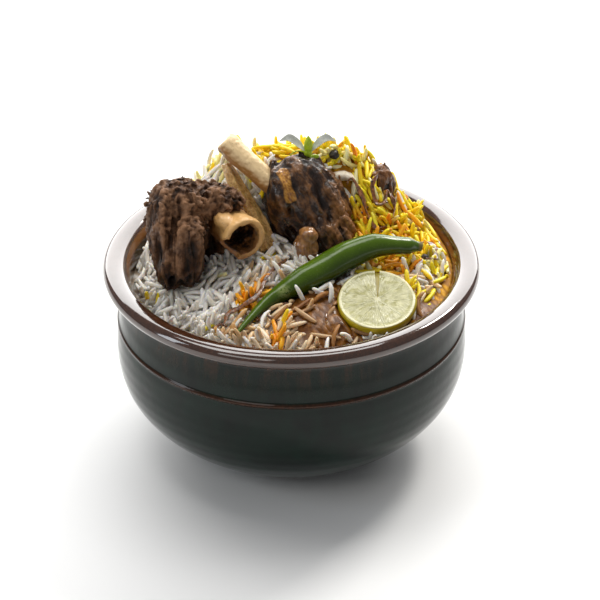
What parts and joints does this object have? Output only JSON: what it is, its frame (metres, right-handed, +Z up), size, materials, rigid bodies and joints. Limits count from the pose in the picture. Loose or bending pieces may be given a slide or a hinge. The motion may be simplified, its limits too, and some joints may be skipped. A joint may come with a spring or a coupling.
{
  "type": "mutton biryani in a bowl",
  "caption": "White and saffron rice heaped in a dark glazed stoneware bowl, with meat on the bone, a green chilli, a lime slice, fried onion and a herb sprig.",
  "frame": {"origin": "centre of the bowl's foot, on the surface that it stands on", "axes": "+Z up through the middle of the bowl; the side with the chilli and the lime slice faces -Y"},
  "size_m": [0.17, 0.17, 0.1446],
  "materials": {
    "glaze": "gloss",
    "white_rice": "satin",
    "saffron_rice": "satin",
    "meat": "satin",
    "bone": "satin",
    "sinew": "gloss",
    "fat": "gloss",
    "chilli": "gloss",
    "lime": "satin",
    "onion": "gloss",
    "cashew": "satin",
    "herb": "satin"
  },
  "bodies": {
    "root": {"bowl": "glaze", "rice_white": "white_rice", "rice_saffron": "saffron_rice", "meat_left": "meat", "meat_middle": "meat", "meat_back": "meat", "marrow_bone": "bone", "shank_bone": "bone", "sinew_strip": "sinew", "fat_knob": "fat", "chilli": "chilli", "lime_slice": "lime", "cashew": "cashew", "herb_sprig": "herb", "onion_long": "onion", "onion_short": "onion", "onion_ribbon": "onion", "onion_curl": "onion", "onion_loop": "onion"}
  },
  "joints": []
}
